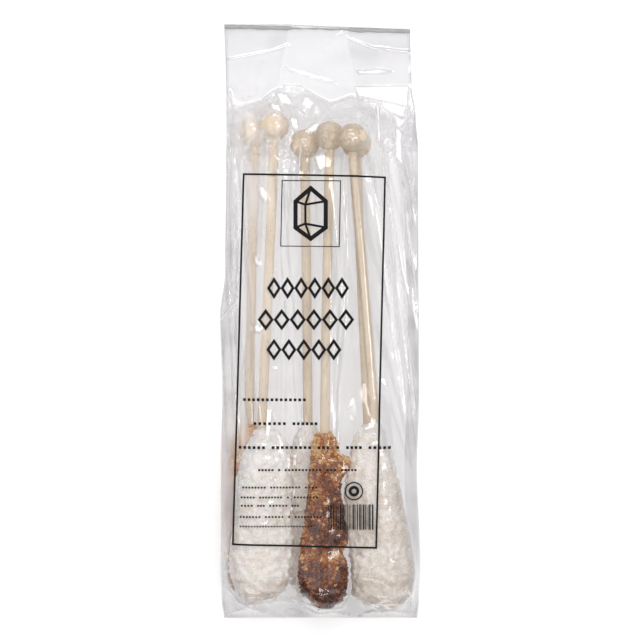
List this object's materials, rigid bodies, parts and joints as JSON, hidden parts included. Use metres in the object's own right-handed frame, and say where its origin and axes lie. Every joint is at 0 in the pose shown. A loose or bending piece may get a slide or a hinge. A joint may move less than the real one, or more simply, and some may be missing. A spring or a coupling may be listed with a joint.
{
  "type": "bag of rock candy sticks",
  "caption": "Clear gusseted film bag, sealed at both ends, holding rock candy sticks with turned wooden knobs; lies on its back.",
  "frame": {"origin": "centre of the underside, on the surface that the bag lies on", "axes": "+Y from the foot of the bag, where the sugar is, to its empty flap; +Z out of its front; +X to the right as seen from the front"},
  "size_m": [0.0612, 0.182, 0.0268],
  "materials": {
    "film": "clear glossy film",
    "wood": "bare pale turned wood",
    "white_sugar": "milky sugar crystals",
    "brown_sugar": "amber sugar crystals",
    "ink": "black print on the film"
  },
  "bodies": {
    "root": {"bag": "film"}
  },
  "joints": []
}
